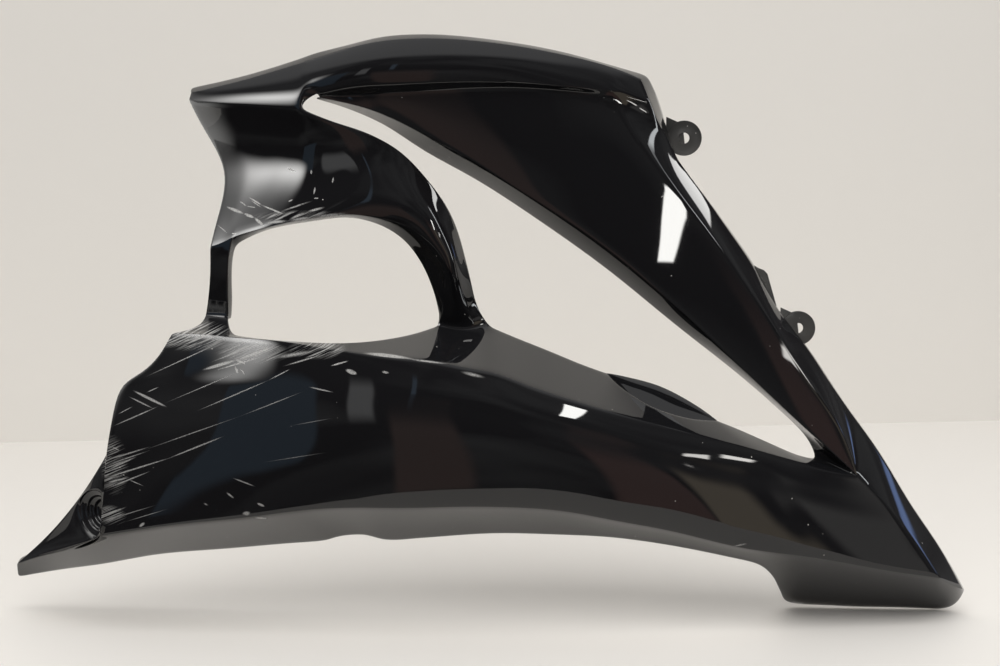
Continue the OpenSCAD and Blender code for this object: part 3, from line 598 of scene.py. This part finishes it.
marks = {
    "flankSweeps": (flankView, [
        (0.9, 0.6, (310, 312), (790, 90)), (2.6, 0.75, (650, 268), (860, 212), (1090, 128)),
        (1.0, 0.8, (730, 276), (1000, 192)), (1.6, 0.35, (690, 225), (960, 120)),
        (3.6, 0.35, (1060, 205), (1350, 150)), (1.3, 0.5, (1130, 248), (1380, 180)),
        (0.7, 0.4, (420, 470), (860, 285)), (0.9, 0.7, (620, 515), (1050, 330), (1180, 265)),
        (1.0, 0.7, (110, 605), (380, 490)), (0.8, 0.45, (300, 755), (880, 545), (1250, 400)),
        (1.1, 0.95, (60, 925), (450, 803), (770, 672)),
    ]),
    "flankNicks": (flankView, [
        (2.2, 1.0, (230, 396), (430, 492)), (1.2, 0.7, (205, 433), (350, 503)),
        (0.9, 0.6, (310, 407), (387, 370)), (0.9, 0.6, (140, 535), (230, 490)),
        (0.9, 0.7, (95, 730), (150, 762)), (0.8, 0.6, (200, 930), (292, 972)),
        (1.2, 0.7, (830, 920), (965, 972)), (1.2, 0.7, (1290, 375), (1440, 410)),
        (1.4, 0.9, (1420, 243), (1525, 215)), (0.8, 0.3, (1180, 610), (1430, 565)),
        (0.8, 0.3, (1010, 830), (1400, 765)),
    ]),
    "flankGouges": (flankView, [
        (2.0, 1.0, (850, 210), (905, 238)), (1.8, 0.8, (842, 250), (862, 297)),
        (1.4, 0.6, (880, 262), (905, 305)), (1.6, 0.7, (790, 1010), (838, 1045)),
        (1.6, 0.4, (650, 1075), (684, 1090)), (2.0, 1.0, (975, 1075), (1022, 1095)),
        (4.0, 0.6, (885, 1140), (935, 1135)), (3.2, 0.6, (960, 1160), (1050, 1165)),
        (2.4, 0.8, (268, 1215), (300, 1190)), (3.4, 1.0, (1508, 270), (1580, 295)),
    ]),
    "edgeHatching": (flankView, [
        (1.3, 0.5, (80, 815), (330, 735)), (1.2, 0.4, (78, 840), (330, 752)),
        (1.5, 0.6, (80, 868), (250, 795)), (1.6, 0.6, (66, 950), (210, 920)),
        (1.1, 0.7, (66, 985), (335, 885)), (1.1, 0.6, (40, 1150), (190, 1095)),
        (1.0, 0.35, (55, 1180), (370, 1085)), (0.9, 0.35, (180, 1185), (440, 1110)),
    ]),
    "archScratches": (archView, [
        (2.4, 0.9, (265, 460), (430, 520), (530, 570), (620, 640)),
        (0.9, 0.8, (385, 400), (450, 455), (550, 466)), (1.3, 0.9, (480, 372), (600, 440), (830, 535)),
        (0.7, 0.6, (490, 395), (600, 465)), (0.8, 0.5, (165, 635), (270, 725)),
        (1.6, 0.35, (620, 592), (780, 510), (1100, 395)), (2.2, 0.5, (870, 580), (1040, 510), (1220, 465)),
        (2.6, 0.45, (640, 622), (870, 590), (1100, 560), (1450, 528)),
    ]),
    "archNicks": (archView, [
        (1.3, 0.8, (850, 82), (940, 120)), (1.3, 0.8, (1093, 95), (1090, 137)),
        (1.2, 0.8, (1305, 170), (1295, 222)), (1.3, 0.8, (1122, 270), (1118, 337)),
        (1.2, 0.8, (858, 410), (915, 384)), (1.2, 0.8, (1118, 375), (1165, 372)),
        (1.4, 0.7, (310, 715), (352, 718)),
    ]),
    # The first and the last of these are painted highlights along the top fold of the flank, laid on as
    # light strokes like the scuffs.
    "frontScuffsAndHighlights": (photoView, [
        (3.0, 0.4, (460, 372), (485, 378)), (2.0, 0.4, (732, 546), (748, 543)),
        (2.0, 0.6, (382, 371), (389, 373)),
    ]),
}

# A painted highlight along the top fold of the flank, laid on as two light strokes: from and to in x and z,
# half width and strength, in mm.
crestHighlight = [((-262, -170), (-222, -174), 1.2, 0.7), ((-226, -174), (-194, -178), 1.0, 0.5)]
markWidth = {"half": 0.6, "least": 0.45}  # mm of half width for each pixel of width, and the least


# Where the camera sees a pixel of the photo on the panel, as x and z to the nearest millimetre.
def placeOnPanel(skin, pixel):
    focal = camera["photo"][0] * camera["lens"] / camera["sensor"]
    pitch = math.radians(camera["pitch"])
    u, v = ((p - size / 2) / focal for p, size in zip(pixel, camera["photo"]))
    aim = Vector((u, math.cos(pitch) - v * math.sin(pitch), -math.sin(pitch) - v * math.cos(pitch)))
    spot = skin.ray_cast(Vector(toFrame(camera["place"])), aim.normalized())[0]
    return (round(spot.x * 1000), round(spot.z * 1000))


def placedMarks(obj):
    mesh = obj.data
    skin = BVHTree.FromPolygons([v.co for v in mesh.vertices], [p.vertices[:] for p in mesh.polygons])
    # The strokes begin with the painted highlight on the flank's top fold.
    placed = list(crestHighlight)
    for view, strokes in marks.values():
        (left, top), zoom = view["corner"], view["zoom"]
        for width, strength, *points in strokes:
            half = round(max(markWidth["least"], width * markWidth["half"]), 1)
            spots = [placeOnPanel(skin, (left + x / zoom, top + y / zoom)) for x, y in points]
            placed += [(start, finish, half, strength) for start, finish in zip(spots, spots[1:])]
    return placed


gloss = {
    "color": (0.008, 0.008, 0.009, 1), "roughness": 0.03,
    # The light grey of wear also paints the highlight along the flank's top fold.
    "wearAndHighlightColor": (0.4, 0.395, 0.385, 1), "wearAndHighlightRoughness": 0.55, "dustColor": (0.62, 0.6, 0.56, 1),
    "strokeEdge": 0.4,  # how far in from its rim a scratch is at full strength
    "strokeReach": 0.55,  # half length of its oval for each mm of its length
    "gritScale": 1.1, "gritRange": (0.3, 0.55), "gritLeast": 0.35,
    "streakAngle": 0.42, "streakLength": 34.0, "streakSpacing": 1.1,
    "waveGrain": 60.0, "waveDepth": 0.00006,
    "dustSpacing": 13.0, "dustRadius": 0.8, "dustShare": 0.4,
}

# Rubbed areas in mm from the upper ear: centre and radii in x and z, and strength.
rubbed = [
    ((-406, -160), (38, 12), 1.0), ((-300, -168), (26, 8), 0.8), ((-352, -170), (34, 10), 0.6),
    ((-474, -268), (16, 28), 0.7), ((-478, -312), (16, 10), 0.7), ((-310, -62), (48, 6), 0.6),
]


# The place on the panel in millimetres, and the same laid flat in the x-z plane.
def flatPoint(tree):
    place = makeNode(tree, "TexCoord")
    scaled = makeNode(tree, "VectorMath", {1: (1000.0,) * 3}, operation="MULTIPLY")
    flat = makeNode(tree, "VectorMath", {1: (1.0, 0.0, 1.0)}, operation="MULTIPLY")
    tree.links.new(place.outputs["Object"], scaled.inputs[0])
    tree.links.new(scaled.outputs[0], flat.inputs[0])
    return scaled.outputs[0], flat.outputs[0]


# One stroke, a scratch or a painted highlight, as a long oval between two points, added to those before it.
def addScratchOrHighlight(tree, flat, before, scratchOrHighlight):
    (x0, z0), (x1, z1), half, strength = scratchOrHighlight
    oval = makeNode(tree, "TexGradient", gradient_type="SPHERICAL")
    oval.texture_mapping.vector_type = "TEXTURE"
    oval.texture_mapping.translation = ((x0 + x1) / 2, 0, (z0 + z1) / 2)
    oval.texture_mapping.rotation = (0, -math.atan2(z1 - z0, x1 - x0), 0)
    oval.texture_mapping.scale = (gloss["strokeReach"] * math.hypot(x1 - x0, z1 - z0), 1, half)
    total = makeNode(tree, "Math", {1: strength, 2: 0.0}, operation="MULTIPLY_ADD")
    tree.links.new(flat, oval.inputs["Vector"])
    tree.links.new(oval.outputs[1], total.inputs[0])
    if before:
        tree.links.new(before, total.inputs[2])
    return total.outputs[0]


# Gloss black paint: light strokes and rubbed areas are wear, except the strokes along the flank's top fold,
# which are painted highlights; dust lies on top.
def glossPlastic(material, scratchesAndHighlights):
    material.use_nodes = True
    tree = material.node_tree
    links = tree.links
    shader = tree.nodes["Principled BSDF"]
    point, flat = flatPoint(tree)
    drawnSoFar = None
    for scratchOrHighlight in scratchesAndHighlights:
        drawnSoFar = addScratchOrHighlight(tree, flat, drawnSoFar, scratchOrHighlight)
    sharp = makeNode(tree, "MapRange", {"From Max": gloss["strokeEdge"]}, interpolation_type="SMOOTHSTEP")
    links.new(drawnSoFar, sharp.inputs["Value"])
    areas = None
    for (x, z), (rx, rz), strength in rubbed:
        area = useGroup(tree, shared["spot"],
                        {"Centre": (x, 0, z), "Radius": (rx, 1, rz), "Strength": strength})
        links.new(flat, area.inputs["Point"])
        if areas:
            links.new(areas.outputs[0], area.inputs["Before"])
        areas = area
    streaks = useGroup(tree, shared["streaks"],
                       {"Angle": gloss["streakAngle"], "Length": gloss["streakLength"],
                        "Spacing": gloss["streakSpacing"]})
    links.new(flat, streaks.inputs["Point"])
    rub = makeNode(tree, "Math", operation="MULTIPLY")
    links.new(streaks.outputs[0], rub.inputs[0])
    links.new(areas.outputs[0], rub.inputs[1])
    grit = makeNode(tree, "TexNoise", {"Scale": gloss["gritScale"], "Detail": 2.0})
    links.new(point, grit.inputs["Vector"])
    low, high = gloss["gritRange"]
    broken = makeNode(tree, "MapRange", {"From Min": low, "From Max": high, "To Min": gloss["gritLeast"]})
    links.new(grit.outputs[0], broken.inputs["Value"])
    drawn = makeNode(tree, "Math", operation="MULTIPLY")
    links.new(sharp.outputs[0], drawn.inputs[0])
    links.new(broken.outputs[0], drawn.inputs[1])
    # Wear and the painted highlight strokes together lighten the gloss.
    wearAndHighlight = makeNode(tree, "Math", operation="MAXIMUM")
    links.new(drawn.outputs[0], wearAndHighlight.inputs[0])
    links.new(rub.outputs[0], wearAndHighlight.inputs[1])
    dust = useGroup(tree, shared["dust"], {"Spacing": gloss["dustSpacing"], "Radius": gloss["dustRadius"],
                                           "Share": gloss["dustShare"]})
    links.new(point, dust.inputs["Point"])
    wearAndHighlightTint = makeNode(tree, "Mix", data_type="RGBA")
    wearAndHighlightTint.inputs[6].default_value = gloss["color"]
    wearAndHighlightTint.inputs[7].default_value = gloss["wearAndHighlightColor"]
    links.new(wearAndHighlight.outputs[0], wearAndHighlightTint.inputs["Factor"])
    dusty = makeNode(tree, "Mix", data_type="RGBA")
    dusty.inputs[7].default_value = gloss["dustColor"]
    links.new(dust.outputs[0], dusty.inputs["Factor"])
    links.new(wearAndHighlightTint.outputs[2], dusty.inputs[6])
    links.new(dusty.outputs[2], shader.inputs["Base Color"])
    cover = makeNode(tree, "Math", operation="MAXIMUM")
    links.new(wearAndHighlight.outputs[0], cover.inputs[0])
    links.new(dust.outputs[0], cover.inputs[1])
    rough = makeNode(tree, "MapRange", {"To Min": gloss["roughness"], "To Max": gloss["wearAndHighlightRoughness"]})
    links.new(cover.outputs[0], rough.inputs["Value"])
    links.new(rough.outputs[0], shader.inputs["Roughness"])
    skin = useGroup(tree, shared["relief"], {"Grain": gloss["waveGrain"], "Depth": gloss["waveDepth"]})
    links.new(point, skin.inputs["Point"])
    links.new(skin.outputs[0], shader.inputs["Normal"])
    return material


bare = {
    "colorLow": (0.012, 0.012, 0.012, 1), "colorHigh": (0.035, 0.033, 0.03, 1), "roughness": (0.34, 0.5),
    "hazeScale": 0.02, "hazeRange": (0.35, 0.65), "grain": 0.9, "depth": 0.00004,
    "dustSpacing": 9.0, "dustRadius": 0.6, "dustShare": 0.35,
}


# The unpainted moulding inboard: satin, finely grained, with a dusty haze.
def barePlastic(material):
    material.use_nodes = True
    tree = material.node_tree
    links = tree.links
    shader = tree.nodes["Principled BSDF"]
    point, _ = flatPoint(tree)
    haze = makeNode(tree, "TexNoise", {"Scale": bare["hazeScale"], "Detail": 4.0})
    links.new(point, haze.inputs["Vector"])
    low, high = bare["hazeRange"]
    spread = makeNode(tree, "MapRange", {"From Min": low, "From Max": high})
    links.new(haze.outputs[0], spread.inputs["Value"])
    tone = makeNode(tree, "Mix", data_type="RGBA")
    tone.inputs[6].default_value = bare["colorLow"]
    tone.inputs[7].default_value = bare["colorHigh"]
    links.new(spread.outputs[0], tone.inputs["Factor"])
    dust = useGroup(tree, shared["dust"], {"Spacing": bare["dustSpacing"], "Radius": bare["dustRadius"],
                                           "Share": bare["dustShare"]})
    links.new(point, dust.inputs["Point"])
    dusty = makeNode(tree, "Mix", data_type="RGBA")
    dusty.inputs[7].default_value = gloss["dustColor"]
    links.new(dust.outputs[0], dusty.inputs["Factor"])
    links.new(tone.outputs[2], dusty.inputs[6])
    links.new(dusty.outputs[2], shader.inputs["Base Color"])
    rough = makeNode(tree, "MapRange", {"To Min": bare["roughness"][0], "To Max": bare["roughness"][1]})
    links.new(spread.outputs[0], rough.inputs["Value"])
    links.new(rough.outputs[0], shader.inputs["Roughness"])
    skin = useGroup(tree, shared["relief"], {"Grain": bare["grain"], "Depth": bare["depth"]})
    links.new(point, skin.inputs["Point"])
    links.new(skin.outputs[0], shader.inputs["Normal"])
    return material


panelSkins = [bpy.data.materials.new(name) for name in ("glossPlastic", "barePlastic")]
panel = makePanel()
glossPlastic(panelSkins[0], placedMarks(panel))
barePlastic(panelSkins[1])
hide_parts("fairing_panel")
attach(panel, "root")
print("panel dressed,", len(panel.data.polygons), "faces")

# A white table that ends just in front of the panel, a wall behind it, and a dark room with lights.
studio = {
    "tableZ": -0.421, "tableX": (-2.6, 2.6), "tableY": (-0.13, 1.2),
    "wallPlace": (-0.15, 0.86), "wallTurn": 6.4, "wallX": (-2.2, 1.15), "wallHeight": 2.2,
    "tableColor": (0.80, 0.775, 0.74, 1), "wallColor": (0.80, 0.775, 0.735, 1),
    "paintRoughness": 0.55, "roomLow": (0.045, 0.04, 0.042, 1), "roomHigh": (0.2, 0.2, 0.2, 1),
    "roomPatch": 2.2, "patchRange": (0.42, 0.62), "ceiling": 0.85, "ceilingFrom": (0.5, 0.72),
}


def sheet(name, corners, faces=((0, 1, 2, 3),)):
    mesh = bpy.data.meshes.new(name)
    mesh.from_pydata(corners, [], list(faces))
    obj = bpy.data.objects.new(name, mesh)
    bpy.context.scene.collection.objects.link(obj)
    return obj


# Paint that is clear from its back, so that the panel can be seen from behind the wall.
def mattePaint(name, colour):
    paint = bpy.data.materials.new(name)
    paint.use_nodes = True
    tree = paint.node_tree
    shader = tree.nodes["Principled BSDF"]
    shader.inputs["Base Color"].default_value = colour
    shader.inputs["Roughness"].default_value = studio["paintRoughness"]
    side = makeNode(tree, "NewGeometry")
    clear = makeNode(tree, "BsdfTransparent")
    mix = makeNode(tree, "MixShader")
    tree.links.new(side.outputs["Backfacing"], mix.inputs[0])
    tree.links.new(shader.outputs[0], mix.inputs[1])
    tree.links.new(clear.outputs[0], mix.inputs[2])
    tree.links.new(mix.outputs[0], tree.nodes["Material Output"].inputs["Surface"])
    return paint


def makeStage():
    (x0, x1), (y0, y1) = studio["tableX"], studio["tableY"]
    table = sheet("table", [(x0, y0, 0), (x1, y0, 0), (x1, y1, 0), (x0, y1, 0)])
    table.location = (0, 0, studio["tableZ"])
    table.data.materials.append(mattePaint("tablePaint", studio["tableColor"]))
    x0, x1 = studio["wallX"]
    h = studio["wallHeight"]
    wall = sheet("wall", [(x0, 0, 0), (x1, 0, 0), (x1, 0, h), (x0, 0, h)])
    wall.location = (*studio["wallPlace"], studio["tableZ"])
    wall.rotation_euler = (0, 0, math.radians(studio["wallTurn"]))
    wall.data.materials.append(mattePaint("wallPaint", studio["wallColor"]))


# Cards give the room's windows and lamps, seen only as reflections. Each lies in a plane x = or y =,
# with the other two coordinates of its corners in metres, its colour, strength and soft border.
cards = {
    "leftWindow": {
        "plane": ("x", -0.6), "corners": [(-0.1, 0.19), (-0.68, 0.19), (-0.68, -0.16), (-0.1, -0.16)],
        "color": (1.0, 0.99, 0.97), "strength": 15.0, "soft": (0.5, 0.5),
    },
    "archHaze": {
        "plane": ("x", -0.6), "corners": [(0.12, 0.25), (-0.2, 0.25), (-0.2, -0.28), (0.12, -0.28)],
        "color": (1.0, 0.99, 0.96), "strength": 4.0, "soft": (0.4, 0.3),
    },
    "barWindow": {
        "plane": ("y", -0.3), "corners": [(0.05, -0.07), (0.09, -0.07), (0.02, -0.19), (-0.01, -0.2)],
        "color": (1.0, 0.99, 0.96), "strength": 24.0, "soft": (0.1, 0.05),
    },
    "stripWindow": {
        "plane": ("x", 0.8), "corners": [(0.12, 0.42), (0.4, 0.42), (0.38, 0.31), (0.1, 0.3)],
        "color": (1.0, 0.99, 0.97), "strength": 9.0, "soft": (0.1, 0.1),
    },
    "lampNear": {
        "plane": ("y", -0.4), "corners": [(0.2, -0.275), (0.26, -0.245), (0.245, -0.3), (0.19, -0.3)],
        "color": (1.0, 0.97, 0.93), "strength": 14.0, "soft": (0.2, 0.2),
    },
    "lampFar": {
        "plane": ("y", -0.4), "corners": [(0.28, -0.22), (0.36, -0.24), (0.34, -0.27), (0.265, -0.265)],
        "color": (1.0, 0.97, 0.93), "strength": 16.0, "soft": (0.2, 0.2),
    },
    "rightTube": {
        "plane": ("x", 1.0), "corners": [(-0.35, 0.5), (-0.22, 0.5), (-0.22, -0.6), (-0.35, -0.6)],
        "color": (0.95, 0.98, 1.0), "strength": 9.0, "soft": (0.2, 0.1),
    },
    "blueSheet": {
        "plane": ("x", 1.5), "corners": [(0.6, 0.05), (0.85, 0.05), (0.85, -0.3), (0.6, -0.3)],
        "color": (0.37, 0.53, 1.0), "strength": 1.9, "soft": (0.35, 0.35),
    },
    "shelfLeft": {
        "plane": ("y", -1.4), "corners": [(-1.28, 0.02), (-0.77, 0.02), (-0.77, -1.35), (-1.28, -1.2)],
        "color": (0.53, 0.75, 1.0), "strength": 0.36, "soft": (0.04, 0.1),
    },
    "doorBand": {
        "plane": ("y", -1.4), "corners": [(-0.66, 0.15), (-0.55, 0.15), (-0.56, -0.8), (-0.67, -0.8)],
        "color": (1.0, 1.0, 1.0), "strength": 0.95, "soft": (0.15, 0.35),
    },
    "narrowBand": {
        "plane": ("y", -1.4), "corners": [(-0.38, 0.3), (-0.33, 0.3), (-0.34, -0.5), (-0.38, -0.5)],
        "color": (0.55, 0.75, 1.0), "strength": 0.65, "soft": (0.25, 0.3),
    },
    "brownLeft": {
        "plane": ("y", -1.4), "corners": [(-0.54, -0.3), (-0.15, -0.3), (-0.15, -3.2), (-0.54, -3.2)],
        "color": (1.0, 0.7, 0.62), "strength": 0.34, "soft": (0.15, 0.2),
    },
    "brownRight": {
        "plane": ("y", -1.4), "corners": [(0.34, -0.3), (0.6, -0.25), (0.55, -4.0), (0.2, -4.0)],
        "color": (1.0, 0.62, 0.55), "strength": 0.42, "soft": (0.2, 0.15),
    },
    "olive": {
        "plane": ("y", -1.4), "corners": [(0.61, -0.4), (1.05, -0.4), (0.95, -1.9), (0.5, -2.4)],
        "color": (1.0, 0.85, 0.65), "strength": 0.85, "soft": (0.2, 0.2),
    },
    "farRight": {
        "plane": ("y", -1.4), "corners": [(1.12, -0.4), (1.5, -0.4), (1.5, -1.4), (0.95, -1.8)],
        "color": (1.0, 0.97, 0.93), "strength": 0.5, "soft": (0.15, 0.2),
    },
}


def makeCard(name, card):
    axis, at = card["plane"]
    spot = [(at, a, b) if axis == "x" else (a, at, b) for a, b in card["corners"]]
    obj = sheet(name, spot)
    obj.visible_diffuse = False
    obj.visible_shadow = False
    obj.visible_camera = False
    obj.data.uv_layers.new(name="card").data.foreach_set("uv", (0, 1, 1, 1, 1, 0, 0, 0))
    glow = bpy.data.materials.new(name + "Glow")
    glow.use_nodes = True
    tree = glow.node_tree
    tree.nodes.clear()
    emission = makeNode(tree, "Emission", {"Color": (*card["color"], 1), "Strength": card["strength"]})
    out = makeNode(tree, "OutputMaterial")
    clear = makeNode(tree, "BsdfTransparent")
    mix = makeNode(tree, "MixShader")
    place = makeNode(tree, "UVMap")
    sides = makeNode(tree, "SeparateXYZ")
    tree.links.new(place.outputs[0], sides.inputs[0])
    both = makeNode(tree, "Math", operation="MULTIPLY")
    for k in range(2):
        inset = makeNode(tree, "Math", {1: 0.5}, operation="PINGPONG")
        fade = makeNode(tree, "MapRange", {"From Max": card["soft"][k]}, interpolation_type="SMOOTHSTEP")
        tree.links.new(sides.outputs[k], inset.inputs[0])
        tree.links.new(inset.outputs[0], fade.inputs["Value"])
        tree.links.new(fade.outputs[0], both.inputs[k])
    tree.links.new(both.outputs[0], mix.inputs[0])
    tree.links.new(clear.outputs[0], mix.inputs[1])
    tree.links.new(emission.outputs[0], mix.inputs[2])
    tree.links.new(mix.outputs[0], out.inputs["Surface"])
    obj.data.materials.append(glow)


# The room: a bright ceiling above, and a darker, uneven room round the table.
def makeRoom():
    world = bpy.data.worlds.new("room")
    world.use_nodes = True
    bpy.context.scene.world = world
    tree = world.node_tree
    links = tree.links
    place = makeNode(tree, "TexCoord")
    parts = makeNode(tree, "SeparateXYZ")
    links.new(place.outputs["Generated"], parts.inputs[0])
    blur = makeNode(tree, "TexNoise", {"Scale": studio["roomPatch"], "Detail": 2.0})
    low, high = studio["patchRange"]
    patches = makeNode(tree, "MapRange", {"From Min": low, "From Max": high})
    links.new(place.outputs["Generated"], blur.inputs["Vector"])
    links.new(blur.outputs[0], patches.inputs["Value"])
    room = makeNode(tree, "Mix", data_type="RGBA")
    links.new(patches.outputs[0], room.inputs["Factor"])
    room.inputs[6].default_value = studio["roomLow"]
    room.inputs[7].default_value = studio["roomHigh"]
    low, high = studio["ceilingFrom"]
    height = makeNode(tree, "MapRange", {"From Min": low, "From Max": high}, interpolation_type="SMOOTHSTEP")
    links.new(parts.outputs["Z"], height.inputs["Value"])
    sky = makeNode(tree, "Mix", data_type="RGBA")
    links.new(height.outputs[0], sky.inputs["Factor"])
    links.new(room.outputs[2], sky.inputs[6])
    sky.inputs[7].default_value = (studio["ceiling"],) * 3 + (1,)
    links.new(sky.outputs[2], tree.nodes["Background"].inputs["Color"])
    bpy.context.scene.view_settings.view_transform = "Standard"


# A broad soft lamp for the table and the wall; the panel doesn't mirror it.
fill = {"place": (0.0, -1.5, 1.9), "turn": (52, 0, 0), "size": (3.0, 2.0), "power": 68,
        "color": (1.0, 0.985, 0.96)}


def makeFill():
    light = bpy.data.lights.new("fill", "AREA")
    light.shape = "RECTANGLE"
    light.size, light.size_y = fill["size"]
    light.energy = fill["power"]
    light.color = fill["color"]
    obj = bpy.data.objects.new("fill", light)
    obj.location = fill["place"]
    obj.rotation_euler = [math.radians(a) for a in fill["turn"]]
    obj.visible_glossy = False
    bpy.context.scene.collection.objects.link(obj)


makeStage()
makeRoom()
makeFill()
for name, card in cards.items():
    makeCard(name, card)
print("studio set")
